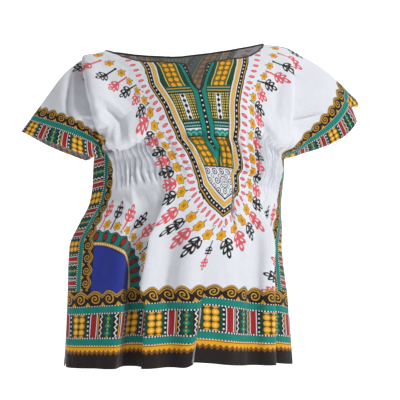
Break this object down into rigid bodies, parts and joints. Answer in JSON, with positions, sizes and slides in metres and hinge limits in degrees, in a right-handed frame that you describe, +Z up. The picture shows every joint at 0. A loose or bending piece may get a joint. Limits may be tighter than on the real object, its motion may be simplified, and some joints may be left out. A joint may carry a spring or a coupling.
{
  "type": "dashiki shirt",
  "caption": "Child's dashiki shirt in printed cotton: boat neck with a notch, short cut-in-one sleeves, a waist gathered by elastic, side slits, in its worn form.",
  "frame": {"origin": "midway between the two ends of the neckline on the shoulder line, where the wearer's shoulders hold the shirt up", "axes": "+Z up, front of the shirt towards -Y, +X towards the wearer's left sleeve, which is on the right seen from the front"},
  "size_m": [0.4837, 0.2055, 0.4502],
  "materials": {
    "printed_cotton": "plain weave, printed borders and yoke on white, slight sheen",
    "binding_cotton": "narrow dark edging"
  },
  "bodies": {
    "root": {"front_panel": "printed_cotton", "back_panel": "printed_cotton", "neck_binding": "binding_cotton"}
  },
  "joints": []
}
